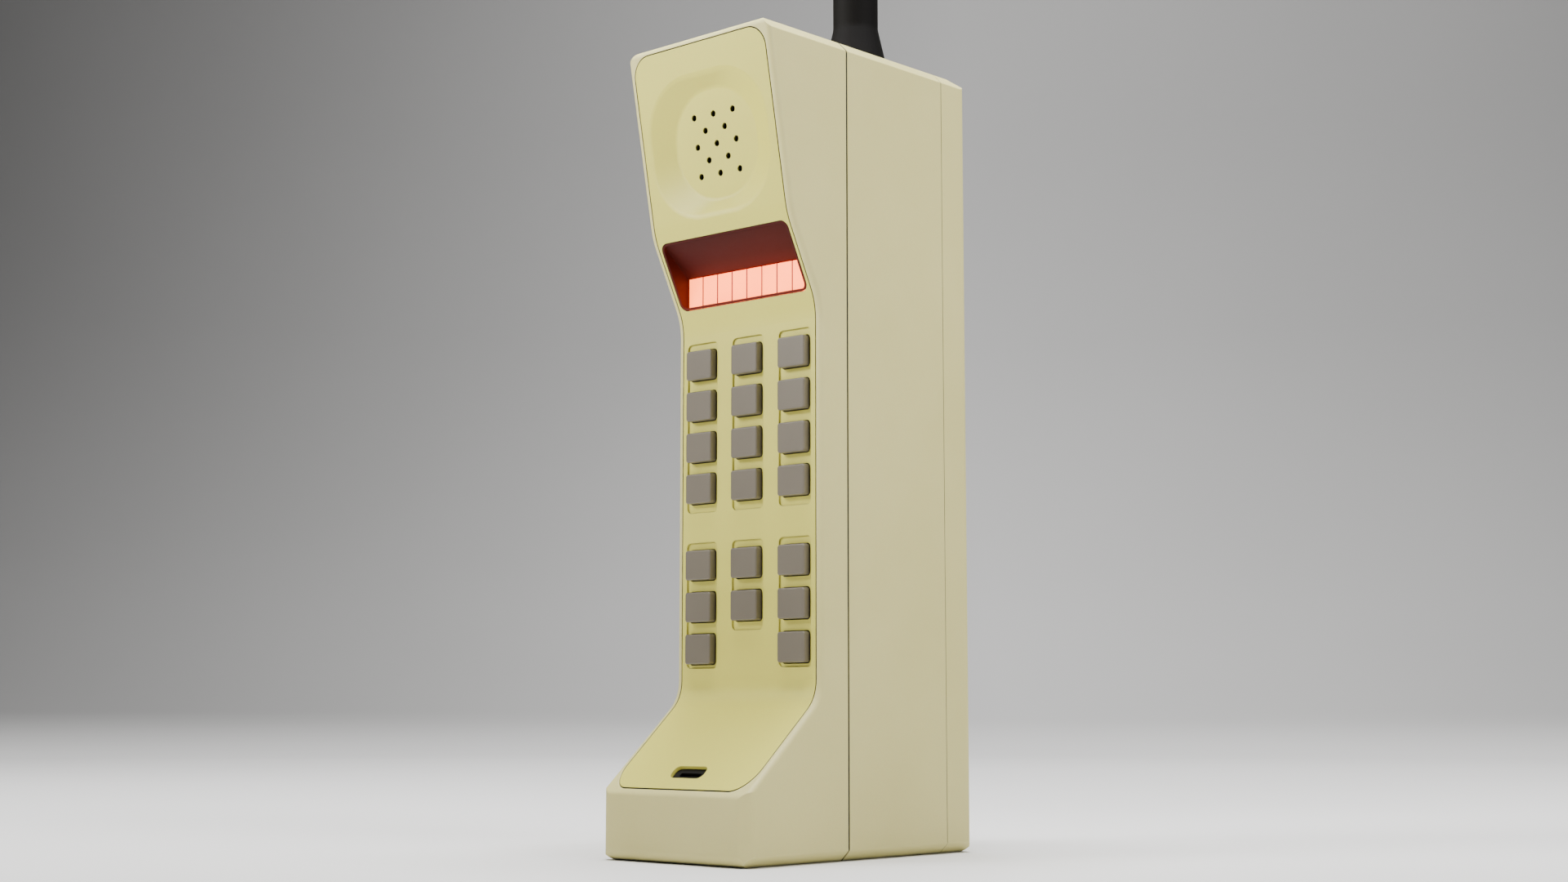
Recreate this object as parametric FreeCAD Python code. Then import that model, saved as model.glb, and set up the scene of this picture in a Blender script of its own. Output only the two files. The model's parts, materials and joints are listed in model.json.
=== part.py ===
"""Early mobile brick phone: two moulded shells, an inlaid front panel, twenty sprung keys,
a lit display strip, a removable battery pack and a screw-in rubber antenna.

Millimetres. +Z is up, the front faces -Y, and the origin is on the floor, under the middle
of the body. Every piece is written to parts/NAME.step.
"""
import FreeCAD, Part
import math
import os

V = FreeCAD.Vector

# ---------------------------------------------------------------- keypad layout
key_width = 9.4
key_height = 7.95
key_corner = 0.75           # corner radius of a key, seen from the front
key_edge = 0.4              # rounding round a key's front face
key_proud = 1.7             # how far a key stands out of the front panel
key_travel = 1.0
key_clearance = 0.25        # between a key and its hole
key_flange_margin = 0.6     # how far the retaining flange reaches past the key
key_flange_thickness = 1.0
key_rest_gap = 0.15         # between the flange and the wall it stops against
row_pitch = 11.22
group_step = 20.6           # from the last row of the upper group to the first of the lower
column_pitch = 16.85
upper_rows = 4
lower_rows = 3
keypad_top_margin = 12.2    # from the display slope to the first row's middle
keypad_bottom_margin = 12.85  # from the last row's middle to the mouthpiece slope
channel_width = 11.2        # shallow channel that each column of keys sits in
channel_depth = 0.5
channel_corner = 1.3
channel_above = 2.1         # channel past the first key
channel_below = 2.5         # channel past the last key
channel_below_outer = 1.1   # the same, under the last key of the long outer columns
channel_margin = 1.6        # from the outer channels to the edge of the front panel

# ---------------------------------------------------------------- outline
base_front_height = 17.3
mouth_rise = 24.2
mouth_setback = 27.5        # how far the keypad face is behind the base's front
display_rise = 21.9
display_lean = 11.0         # how far the display slope comes forward as it goes up
earpiece_rise = 50.0
earpiece_lean = 9.4
mouth_bend = 10.0           # radii of the front's bends
display_bend = 17.0
earpiece_bend = 23.0
lip_radius = 1.6            # the front's top and bottom lips
edge_radius = 3.4           # the body's upright corners, and its lower edges at front and back
corner_leg = 2.8            # flat cut along the body's four edges that run front to back
corner_round = 0.6          # softening of that cut
roof_slope_run = 6.4        # slope down to the back along the roof's rear edge
roof_slope_drop = 2.35
roof_slope_round = 1.5
rim_radius = 1.3            # the long edges of the front

front_shell_depth = 37.7
seam_gap = 0.6              # open joint between the two shells
rear_shell_depth = 39.75
pack_gap = 0.2              # between the rear shell and the battery pack
pack_cover_depth = 11.75

# ---------------------------------------------------------------- shells and front panel
wall = 2.2
front_wall = 1.6            # behind the front panel
rear_wall = 2.0
panel_thickness = 2.0
panel_groove = 0.3          # gap round the front panel
rim_width = 1.7             # light rim outside the groove
panel_corner = 5.6
panel_top_margin = 1.9
panel_bottom_margin = 1.3
joint_lip_depth = 2.2       # rear shell's tongue inside the front shell
joint_lip_thickness = 1.0
joint_lip_clearance = 0.1
joint_lip_root = 2.5
seam_gasket_sink = 0.2      # rubber seal below the shells' outside

# ---------------------------------------------------------------- earpiece
dish_width = 43.0
dish_height = 37.0
dish_corner = 15.0
dish_floor_diameter = 29.6
dish_depth = 3.1
dish_from_top = 28.7        # along the slope, from the top edge to the dish's middle
dish_rim_round = 2.4
dish_floor_round = 1.6
dish_floor_flat = 0.8       # half of the short straight sides left in the round floor
dish_shell = 1.5            # panel thickness behind the dish
dish_clearance = 0.4
speaker_hole_radius = 0.85
speaker_hole_pitch = 7.1
speaker_row_pitch = 3.95
speaker_rows = (3, 2, 3, 2, 3)
speaker_radius = 14.0
speaker_depth = 5.0
magnet_radius = 8.5
magnet_depth = 3.2
speaker_cloth_radius = 11.5
speaker_cloth_thickness = 0.4

# ---------------------------------------------------------------- display
window_width = 45.0
window_height = 18.0
window_corner = 1.6
window_from_bend = 2.4      # along the slope, from the earpiece bend to the window
tray_wall = 0.6
tray_lip = 0.7              # depth of the lip round the window
tray_clearance = 0.15
led_setback = 0.4           # lit strip's face in front of the keypad face
led_top_drop = 9.9          # from the earpiece bend down to the top of the lit strip
led_count = 8
led_pitch = 5.48
led_gap = 0.45
led_thickness = 0.5
led_base_thickness = 1.0
led_base_margin = 0.4
display_board_thickness = 1.2
tray_overlap = 0.1          # of the lip and the tray behind it, before they are fused

# ---------------------------------------------------------------- microphone
mic_slot_width = 11.6
mic_slot_height = 4.4
mic_slot_corner = 1.8
mic_from_bend = 28.45       # along the slope, from the mouthpiece bend
mic_step = 1.0              # how far the rubber sits inside the slot
mic_inner_width = 7.4
mic_inner_height = 1.3
mic_boot_margin = 2.2
mic_boot_thickness = 2.0
mic_radius = 4.6
mic_depth = 3.4
mic_clearance = 0.1

# ---------------------------------------------------------------- boards and fixings
membrane_gap = 0.4          # left between a pressed key and the rubber sheet
membrane_thickness = 0.8
board_thickness = 1.6
keypad_board_margin = 2.5   # keypad board inside the keypad face's ends
board_side_gap = 2.8        # boards inside the shells' side walls
post_radius = 1.8
spacer_radius = 2.0
spacer_clearance = 0.5
spacer_from_end = 6.0
logic_board_setback = 6.0   # logic board behind the seam
logic_board_bottom = 14.0
logic_board_top_gap = 43.0
chip_thickness = 1.4
shield_height = 6.0
shield_wall = 0.4
filter_depth = 8.0
filter_width = 22.0
filter_height = 12.0
screw_radius = 1.25
screw_head_radius = 2.3
screw_head_depth = 1.8
screw_clearance = 0.05
boss_radius = 3.0
boss_side = 6.0             # boss centre in from the body's side
boss_end = 6.6              # and from its top and bottom
rear_boss_depth = 12.0
screw_bite = 9.0            # screw inside the front shell's boss

# ---------------------------------------------------------------- battery pack
cell_length = 42.6
cell_rows = 3
cell_clearance = 0.2
strap_thickness = 0.3
strap_depth = 8.0
strap_reach = 1.5           # from the pack's middle, in cell radii
pack_wall = 1.2
bay_wall = 1.2
bay_clearance = 0.5         # between the pack and its bay
bay_side_gap = 0.6          # between the bay and the rear shell
bay_bottom = 16.0
pack_flange = 1.5
pack_flange_inset = 0.25
contact_width = 6.0
contact_height = 9.0
contact_spread = 8.0
contact_thickness = 0.3
contact_gap = 0.1
contact_from_bottom = 12.0

# ---------------------------------------------------------------- battery latch
latch_from_top = 28.0
latch_width = 12.0
latch_height = 11.0
latch_travel = 3.0
latch_clearance = 0.25
latch_plate_margin = 3.0
latch_plate_thickness = 1.4
latch_sink = 0.4            # thumb face below the pack's back
latch_ridges = 4
latch_ridge_depth = 0.5
latch_ridge_width = 0.9
latch_tongue_width = 8.0
latch_tongue_height = 3.0
latch_tongue_past = 1.5     # tongue inside the rear shell's wall
latch_foot_height = 8.0     # the tongue's foot on the guide plate
latch_foot_thickness = 0.8

# ---------------------------------------------------------------- antenna
antenna_x = 12.4
antenna_setback = 57.6      # axis behind the base's front
antenna_radius = 6.2
antenna_tip_radius = 4.9
antenna_foot_radius = 8.5
antenna_foot_height = 10.1
antenna_foot_round = 0.4
antenna_straight = 62.0     # straight part above the foot
antenna_length = 112.0
antenna_tip_round = 3.0
antenna_seat_gap = 0.1
core_radius = 2.0
core_length = 96.0
core_flange_radius = 5.4
core_flange_thickness = 1.5
core_clearance = 0.05
stud_radius = 2.5
stud_length = 9.0
stud_clearance = 0.05
bush_radius = 4.4
bush_flange_radius = 6.4
bush_flange_thickness = 1.6
bush_length = 10.5

# ---------------------------------------------------------------- worked out from the above
keypad_face_height = (keypad_top_margin + (upper_rows - 1) * row_pitch + group_step
                      + (lower_rows - 1) * row_pitch + keypad_bottom_margin)
panel_half = column_pitch + channel_width / 2 + channel_margin
body_width = 2 * (panel_half + panel_groove + rim_width)
body_depth = front_shell_depth + seam_gap + rear_shell_depth + pack_gap + pack_cover_depth
mouth_top = base_front_height + mouth_rise
keypad_top = mouth_top + keypad_face_height
display_top = keypad_top + display_rise
body_height = display_top + earpiece_rise

front_y = -body_depth / 2
keypad_y = front_y + mouth_setback
seam_y = front_y + front_shell_depth
rear_start_y = seam_y + seam_gap
rear_end_y = rear_start_y + rear_shell_depth
pack_start_y = rear_end_y + pack_gap
back_y = pack_start_y + pack_cover_depth
half_width = body_width / 2
inner_half = half_width - wall
inner_corner = edge_radius - wall

panel_back = panel_thickness                 # depths below the front surface
wall_back = panel_thickness + front_wall
flange_front_y = keypad_y + wall_back + key_rest_gap
flange_back_y = flange_front_y + key_flange_thickness
membrane_y = flange_back_y + key_travel + membrane_gap
keypad_board_y = membrane_y + membrane_thickness
logic_board_y = rear_start_y + logic_board_setback
board_half = inner_half - board_side_gap
keypad_board_low = mouth_top + keypad_board_margin
keypad_board_high = keypad_top - keypad_board_margin
logic_board_top = body_height - logic_board_top_gap

bay_half = inner_half - bay_side_gap - bay_wall
pack_half = bay_half - bay_clearance
cell_radius = (pack_half - pack_wall - 1.5 * cell_clearance) / 2
pack_inner_back_y = back_y - wall
cell_y = pack_inner_back_y - strap_depth / 2 - cell_radius + cell_clearance
pack_front_y = cell_y - cell_radius - cell_clearance - pack_wall
bay_front_y = pack_front_y - bay_clearance
bay_back_y = rear_end_y - rear_wall
pack_bottom = bay_bottom + bay_clearance
cell_bottom = pack_bottom + pack_wall + cell_clearance + strap_thickness
cell_step = cell_length + strap_thickness + 2 * cell_clearance
pack_top = cell_bottom + cell_rows * cell_step + pack_wall
bay_top = pack_top + bay_clearance

antenna_y = front_y + antenna_setback
latch_z = body_height - latch_from_top


# ================================================================ helpers
def side_point(y, z):
    """A point of an outline drawn in the YZ plane."""
    return V(0, y, z)


def front_point(x, z):
    """A point of an outline drawn in the XZ plane."""
    return V(x, 0, z)


def plan_point(x, y):
    """A point of an outline drawn in the XY plane."""
    return V(x, y, 0)


def rounded_face(corners, to_space):
    """Flat face with the corners given as (a, b, radius)."""
    count = len(corners)
    edges = []
    ends = []
    for index, (a, b, radius) in enumerate(corners):
        before = V(*corners[index - 1][:2], 0)
        after = V(*corners[(index + 1) % count][:2], 0)
        here = V(a, b, 0)
        back = (before - here).normalize()
        ahead = (after - here).normalize()
        if radius <= 0:
            ends.append((here, None, here))
            continue
        half_angle = back.getAngle(ahead) / 2
        reach = radius / math.tan(half_angle)
        middle = here + (back + ahead).normalize() * (radius / math.sin(half_angle) - radius)
        ends.append((here + back * reach, middle, here + ahead * reach))
    for index, (start, middle, finish) in enumerate(ends):
        if middle is not None:
            edges.append(Part.Arc(to_space(start.x, start.y), to_space(middle.x, middle.y),
                                  to_space(finish.x, finish.y)).toShape())
        following = ends[(index + 1) % count][0]
        if finish.distanceToPoint(following) > 1e-6:
            edges.append(Part.LineSegment(to_space(finish.x, finish.y),
                                          to_space(following.x, following.y)).toShape())
    return Part.Face(Part.Wire(edges))


def rectangle(a0, a1, b0, b1, radius):
    """Corners of a rectangle with one radius."""
    return [(a0, b0, radius), (a1, b0, radius), (a1, b1, radius), (a0, b1, radius)]


def across(corners, half):
    """Side outline made solid from x = -half to +half."""
    face = rounded_face(corners, side_point)
    face.translate(V(-half, 0, 0))
    return face.extrude(V(2 * half, 0, 0))


def front_block(half, z0, z1, radius, y0, y1):
    """Rectangle seen from the front, with rounded corners, from y0 to y1."""
    return front_block_at(0, half, z0, z1, radius, y0, y1)


def front_block_at(x, half, z0, z1, radius, y0, y1):
    """The same, centred at x."""
    face = rounded_face(rectangle(x - half, x + half, z0, z1, radius), front_point)
    face.translate(V(0, y0, 0))
    return face.extrude(V(0, y1 - y0, 0))


def box(x0, x1, y0, y1, z0, z1):
    """Plain block between two corners."""
    return Part.makeBox(x1 - x0, y1 - y0, z1 - z0, V(x0, y0, z0))


def rod_y(x, z, radius, y0, y1):
    """Cylinder along Y."""
    return Part.makeCylinder(radius, y1 - y0, V(x, y0, z), V(0, 1, 0))


def rod_z(x, y, radius, z0, z1):
    """Cylinder along Z."""
    return Part.makeCylinder(radius, z1 - z0, V(x, y, z0), V(0, 0, 1))


def plate(width, height, radius, z0, z1):
    """Rounded rectangle round the local origin, from z0 to z1."""
    face = rounded_face(rectangle(-width / 2, width / 2, -height / 2, height / 2, radius),
                        plan_point)
    face.translate(V(0, 0, z0))
    return face.extrude(V(0, 0, z1 - z0))


def disc(radius, z0, z1):
    """Cylinder round the local Z axis."""
    return Part.makeCylinder(radius, z1 - z0, V(0, 0, z0))


def one_solid(shape):
    """The single solid inside a result."""
    clean = shape.removeSplitter()
    return clean.Solids[0] if len(clean.Solids) == 1 else clean


def group(shapes):
    """Several separate solids as one piece."""
    return Part.makeCompound(shapes)


# ================================================================ the front outline
front_faces = [(front_y, 0.0), (front_y, base_front_height), (keypad_y, mouth_top),
               (keypad_y, keypad_top), (keypad_y - display_lean, display_top),
               (keypad_y - display_lean - earpiece_lean, body_height)]
front_bends = [edge_radius, lip_radius, -mouth_bend, -display_bend, earpiece_bend, lip_radius]


def crossing(p, u, q, v):
    """Where the line through p along u meets the line through q along v."""
    t = ((q[0] - p[0]) * v[1] - (q[1] - p[1]) * v[0]) / (u[0] * v[1] - u[1] * v[0])
    return (p[0] + t * u[0], p[1] + t * u[1])


def side_outline(front_inset, end_inset, back):
    """Corners (y, z, radius) of the body seen from the side, moved inwards.

    A negative bend in front_bends is a hollow one: its radius grows as the outline moves in.
    """
    lines = []
    for low, high in zip(front_faces, front_faces[1:]):
        length = math.dist(low, high)
        along = ((high[0] - low[0]) / length, (high[1] - low[1]) / length)
        inwards = (along[1], -along[0])
        moved = (low[0] + inwards[0] * front_inset, low[1] + inwards[1] * front_inset)
        lines.append((moved, along))
    floor = ((0.0, end_inset), (1.0, 0.0))
    roof = ((0.0, body_height - end_inset), (1.0, 0.0))
    lines = [floor] + lines + [roof]
    corners = []
    for (first, second), bend in zip(zip(lines, lines[1:]), front_bends):
        y, z = crossing(first[0], first[1], second[0], second[1])
        radius = bend - front_inset if bend > 0 else front_inset - bend
        corners.append((y, z, max(radius, 0.0)))
    end_radius = max(edge_radius - end_inset, 0.0)
    corners.append((back, body_height - end_inset, end_radius))
    corners.append((back, end_inset, end_radius))
    return corners


def outline_y(z, inset):
    """Y of the front outline at a height, at a depth below its surface."""
    corners = side_outline(inset, 0, back_y)[:len(front_faces)]
    for (y0, z0, _), (y1, z1, _) in zip(corners, corners[1:]):
        if z0 <= z <= z1:
            return y0 + (y1 - y0) * (z - z0) / (z1 - z0)
    return corners[0][0]


def slope_place(low, high, from_high):
    """Placement on a sloping face: local X is +X, Y runs up the slope, Z points outwards."""
    length = math.dist(low, high)
    up = V(0, (high[0] - low[0]) / length, (high[1] - low[1]) / length)
    outwards = V(1, 0, 0).cross(up)
    origin = V(0, high[0], high[1]) - up * from_high
    return FreeCAD.Placement(origin, FreeCAD.Rotation(V(1, 0, 0), up, outwards, "ZXY"))


def placed(shape, place):
    """A copy of the shape, built round its own origin, moved to a placement."""
    moved = shape.copy()
    moved.Placement = place.multiply(moved.Placement)
    return moved


earpiece_place = slope_place(front_faces[4], front_faces[5], dish_from_top)
window_place = slope_place(front_faces[3], front_faces[4], window_from_bend + window_height / 2)
mic_place = slope_place(front_faces[1], front_faces[2], mic_from_bend)


# ================================================================ outer body
def end_block(inset, y0, y1):
    """The body's outline seen from the front, moved inwards, from y0 to y1."""
    half = half_width - inset
    low = inset
    high = body_height - inset
    points = [(-half, low + corner_leg), (-half + corner_leg, low),
              (half - corner_leg, low), (half, low + corner_leg),
              (half, high - corner_leg), (half - corner_leg, high),
              (-half + corner_leg, high), (-half, high - corner_leg)]
    face = rounded_face([(x, z, corner_round) for x, z in points], front_point)
    face.translate(V(0, y0, 0))
    return face.extrude(V(0, y1 - y0, 0))


def body_block():
    """The whole outside as one block, before it is divided into shells."""
    corners = side_outline(0, 0, back_y)
    roof_back = [(back_y - roof_slope_run, body_height, roof_slope_round),
                 (back_y, body_height - roof_slope_drop, roof_slope_round)]
    block = across(corners[:-2] + roof_back + corners[-1:], half_width)
    long_edges = []
    for edge in block.Edges:
        middle = edge.CenterOfMass
        on_side = abs(abs(middle.x) - half_width) < 1e-4
        if on_side and middle.y < keypad_y + wall:
            long_edges.append(edge)
    block = block.makeFillet(rim_radius, long_edges)
    block = block.common(end_block(0, front_y - 1, back_y + 1))
    plan = rounded_face(rectangle(-half_width, half_width, front_y, back_y, edge_radius),
                        plan_point)
    return block.common(plan.extrude(V(0, 0, body_height)))


def between(block, y0, y1):
    """The part of the body from y0 to y1."""
    return block.common(box(-body_width, body_width, y0, y1, -1, body_height + 1))


def panel_band(depth, grow):
    """Front skin of the given depth, grown past the panel's outline."""
    outside = side_outline(0, 0, back_y)
    inside = side_outline(depth, 0, back_y)
    band = across(outside, panel_half + grow).cut(across(inside, panel_half + grow))
    window = front_block(panel_half + grow, base_front_height + panel_bottom_margin - grow,
                         body_height - panel_top_margin + grow, panel_corner + grow,
                         front_y - 1, keypad_y + mouth_setback)
    return band.common(window)


# ================================================================ keys
def row_heights():
    """Middle of each key row, from the top."""
    heights = []
    z = keypad_top - keypad_top_margin
    for row in range(upper_rows + lower_rows):
        heights.append(z)
        z -= group_step if row == upper_rows - 1 else row_pitch
    return heights


def key_places():
    """Name, x and z of each key: the lower group's middle column is one key short."""
    places = []
    for row, z in enumerate(row_heights()):
        for column in range(3):
            if row == upper_rows + lower_rows - 1 and column == 1:
                continue
            places.append((f"key_row{row + 1}_{'left middle right'.split()[column]}",
                           (column - 1) * column_pitch, z))
    return places


def key(x, z):
    """Key with a rounded front and a flange that keeps it in."""
    cap = front_block_at(x, key_width / 2, z - key_height / 2, z + key_height / 2, key_corner,
                         keypad_y - key_proud, flange_back_y)
    front = [edge for edge in cap.Edges
             if abs(edge.BoundBox.YMax - (keypad_y - key_proud)) < 1e-4]
    cap = cap.makeFillet(key_edge, front)
    flange = front_block_at(x, key_width / 2 + key_flange_margin,
                            z - key_height / 2 - key_flange_margin,
                            z + key_height / 2 + key_flange_margin, key_corner,
                            flange_front_y, flange_back_y)
    return one_solid(cap.fuse(flange))


def key_holes():
    """Clearance holes for every key, through the panel and the wall behind it."""
    holes = []
    for _, x, z in key_places():
        holes.append(front_block_at(x, key_width / 2 + key_clearance,
                                    z - key_height / 2 - key_clearance,
                                    z + key_height / 2 + key_clearance,
                                    key_corner + key_clearance,
                                    keypad_y - 1, keypad_y + wall_back + 1))
    return holes


def key_channels():
    """The shallow channels: one for each column of each group."""
    heights = row_heights()
    last = upper_rows + lower_rows - 1
    channels = []
    for column in range(3):
        outer = column != 1
        low_row = last if outer else last - 1
        low_end = channel_below_outer if outer else channel_below
        for first, final, below in ((0, upper_rows - 1, channel_below),
                                    (upper_rows, low_row, low_end)):
            channels.append(front_block_at((column - 1) * column_pitch, channel_width / 2,
                                           heights[final] - key_height / 2 - below,
                                           heights[first] + key_height / 2 + channel_above,
                                           channel_corner, keypad_y - 1,
                                           keypad_y + channel_depth))
    return channels


# ================================================================ earpiece
def dish(grow):
    """Rounded bowl of the earpiece: a wide rim that narrows to a round floor."""
    rim = plate(dish_width + 2 * grow, dish_height + 2 * grow, dish_corner + grow, 0, 1).Faces
    top = max(rim, key=lambda face: face.CenterOfMass.z).OuterWire.copy()
    top.translate(V(0, 0, -1))
    floor = dish_floor_diameter + 2 * grow
    low = plate(floor, floor, floor / 2 - dish_floor_flat, 0, 1).Faces
    bottom = max(low, key=lambda face: face.CenterOfMass.z).OuterWire.copy()
    bottom.translate(V(0, 0, -1 - dish_depth - grow))
    return Part.makeLoft([bottom, top], True, True)


def speaker_holes():
    """Round holes in staggered rows."""
    holes = []
    for row, count in enumerate(speaker_rows):
        y = (len(speaker_rows) / 2 - 0.5 - row) * speaker_row_pitch
        for index in range(count):
            x = (index - (count - 1) / 2) * speaker_hole_pitch
            hole = disc(speaker_hole_radius, -dish_depth - dish_shell - 1, 1)
            hole.translate(V(x, y, 0))
            holes.append(hole)
    return holes


def soften_dish(panel):
    """Round the dish's rim and the edge of its floor."""
    to_dish = earpiece_place.inverse()
    rim = []
    floor = []
    for edge in panel.Edges:
        ends = [to_dish.multVec(vertex.Point) for vertex in edge.Vertexes]
        inside = all(abs(end.x) < dish_width / 2 + 0.01 and abs(end.y) < dish_height / 2 + 0.01
                     for end in ends)
        if inside and all(abs(end.z) < 0.01 for end in ends):
            rim.append(edge)
        if inside and all(abs(end.z + dish_depth) < 0.01 for end in ends):
            floor.append(edge)
    return panel.makeFillet(dish_rim_round, rim).makeFillet(dish_floor_round, floor)


# ================================================================ display
led_y = keypad_y - led_setback
led_top = display_top - led_top_drop
window_top = window_place.multVec(V(0, window_height / 2, 0))
window_bottom = window_place.multVec(V(0, -window_height / 2, 0))
led_bottom = window_bottom.z - led_base_margin
led_back_y = led_y + led_thickness + led_base_thickness
tray_half = window_width / 2 + tray_wall


def tray_hollow():
    """Inside of the display tray: a ceiling sloping down to the lit strip, and a level floor."""
    top = window_place.multVec(V(0, window_height / 2, -tray_lip))
    bottom = window_place.multVec(V(0, -window_height / 2, -tray_lip))
    corners = [(top.y, top.z, 0), (led_y, led_top + led_base_margin, 0),
               (led_back_y, led_top + led_base_margin, 0), (led_back_y, led_bottom, 0),
               (bottom.y, led_bottom, 0), (bottom.y, bottom.z, 0)]
    return across(corners, window_width / 2)


def tray_outside(grow):
    """Outside of the display tray behind the front panel."""
    skin = tray_wall + grow
    top = window_place.multVec(V(0, window_height / 2 + skin, -tray_lip))
    sill = window_place.multVec(V(0, -window_height / 2 - tray_wall, -tray_lip))
    high = led_top + led_base_margin + skin
    deep = led_back_y + tray_wall + grow
    corners = [(top.y, top.z, 0), (led_y + skin, high, 0), (deep, high, 0),
               (deep, led_bottom - skin, 0), (sill.y - grow, led_bottom - skin, 0),
               (sill.y - grow, sill.z, 0)]
    return across(corners, tray_half + grow)


def window_frame(grow, depth):
    """Rounded block through the front panel round the window."""
    skin = 2 * (tray_wall + grow)
    block = plate(window_width + skin, window_height + skin, window_corner + tray_wall + grow,
                  -depth, 1)
    return placed(block, window_place)


def display_tray(block):
    """Dark tray with a lip flush with the front panel."""
    tray = window_frame(0, tray_lip + tray_overlap).common(block).fuse(tray_outside(0))
    window = placed(plate(window_width, window_height, window_corner, -tray_lip - tray_overlap, 2),
                    window_place)
    return one_solid(tray.cut(tray_hollow()).cut(window))


def led_bars():
    """Row of separate lit bars."""
    bars = []
    for index in range(led_count):
        x = (index - (led_count - 1) / 2) * led_pitch
        half = (led_pitch - led_gap) / 2
        bars.append(box(x - half, x + half, led_y, led_y + led_thickness, led_bottom, led_top))
    return group(bars)


def led_base():
    """Strip that the bars stand on, with a rib between each two bars."""
    half = window_width / 2
    strip = box(-half, half, led_y + led_thickness, led_back_y, led_bottom,
                led_top + led_base_margin)
    ribs = []
    for index in range(led_count - 1):
        x = (index + 1 - led_count / 2) * led_pitch
        ribs.append(box(x - led_gap / 2, x + led_gap / 2, led_y, led_y + led_thickness,
                        led_bottom, led_top))
    return one_solid(strip.fuse(ribs))


def display_board(grow):
    """Small circuit board behind the tray; grown, it is the space that the shell leaves."""
    start = led_back_y + tray_wall
    half = board_half - spacer_radius + grow
    return box(-half, half, start, start + display_board_thickness + grow,
               led_bottom - grow, led_top + led_base_margin + grow)


# ================================================================ fixings
def boss_places():
    """X, z of the four screws that join the shells."""
    side = half_width - boss_side
    return [(x, z) for x in (-side, side) for z in (boss_end, body_height - boss_end)]


def post_places():
    """X, z of the posts that the keypad's boards press against."""
    heights = row_heights()
    middle = (heights[upper_rows - 1] + heights[upper_rows]) / 2
    ends = (keypad_board_low + post_radius, middle, keypad_board_high - post_radius)
    return [(x, z) for x in (-column_pitch / 2, column_pitch / 2) for z in ends]


def screws():
    """Long screws from the rear shell into the front shell."""
    head_y = rear_start_y + rear_boss_depth
    pieces = []
    for x, z in boss_places():
        shaft = rod_y(x, z, screw_radius, seam_y - screw_bite, head_y)
        head = rod_y(x, z, screw_head_radius, head_y, head_y + screw_head_depth)
        slot = box(x - screw_head_radius, x + screw_head_radius,
                   head_y + screw_head_depth / 2, head_y + screw_head_depth + 1,
                   z - screw_head_radius / 6, z + screw_head_radius / 6)
        pieces.append(one_solid(shaft.fuse(head).cut(slot)))
    return group(pieces)


# ================================================================ the shells
def front_panel():
    """Inlaid panel: earpiece dish, display window, key channels and microphone slot."""
    panel = panel_band(panel_thickness, 0)
    bulge = placed(dish(dish_shell), earpiece_place)
    skin = across(side_outline(0, 0, back_y), panel_half)
    panel = panel.fuse(bulge.common(skin)).cut(placed(dish(0), earpiece_place))
    panel = soften_dish(one_solid(panel))
    for hole in speaker_holes():
        panel = panel.cut(placed(hole, earpiece_place))
    panel = panel.cut(window_frame(tray_clearance, panel_thickness + 1))
    panel = panel.cut(tray_outside(tray_clearance))
    panel = panel.cut(group(key_channels() + key_holes()))
    slot = plate(mic_slot_width, mic_slot_height, mic_slot_corner, -panel_thickness - 1, 1)
    return one_solid(panel.cut(placed(slot, mic_place)))


def front_cavity():
    """Inside of the front shell."""
    return across(side_outline(wall_back, wall, rear_end_y), inner_half)


def front_housing(block):
    """Front shell with the panel's recess, its openings, screw bosses and keypad posts."""
    shell = between(block, front_y - 1, seam_y)
    cavity = front_cavity()
    fittings = []
    for x, z in boss_places():
        start = outline_y(z, panel_thickness + front_wall / 2)
        fittings.append(rod_y(x, z, boss_radius, start, seam_y))
    for x, z in post_places():
        fittings.append(rod_y(x, z, post_radius, keypad_y + panel_back + front_wall / 2,
                              membrane_y))
    shell = shell.cut(cavity).fuse(fittings)
    shell = shell.cut(panel_band(panel_thickness, panel_groove))
    shell = shell.cut(placed(dish(dish_shell + dish_clearance), earpiece_place))
    shell = shell.cut(tray_outside(tray_clearance)).cut(display_board(tray_clearance))
    shell = shell.cut(window_frame(tray_clearance, wall_back + 1))
    slot = plate(mic_slot_width, mic_slot_height, mic_slot_corner, -wall_back - 1, 1)
    shell = shell.cut(placed(slot, mic_place))
    holes = key_holes()
    for x, z in boss_places():
        holes.append(rod_y(x, z, screw_radius + screw_clearance, seam_y - screw_bite - 1,
                           seam_y + 1))
    return one_solid(shell.cut(group(holes)))


def joint_lip():
    """Tongue of the rear shell that hides the open joint from inside."""
    outer_half = inner_half - joint_lip_clearance
    inside_half = outer_half - joint_lip_thickness
    start = seam_y - joint_lip_depth
    root = rear_start_y + joint_lip_root

    def frame_block(half, corner, y0, y1):
        drop = half_width - half
        return front_block(half, drop, body_height - drop, corner, y0, y1)

    tongue = frame_block(outer_half, inner_corner, start, root)
    foot = frame_block(inner_half + wall / 2, inner_corner + wall / 2, rear_start_y, root)
    hollow = frame_block(inside_half, inner_corner / 2, start - 1, root + 1)
    return tongue.fuse(foot).cut(hollow)


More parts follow.
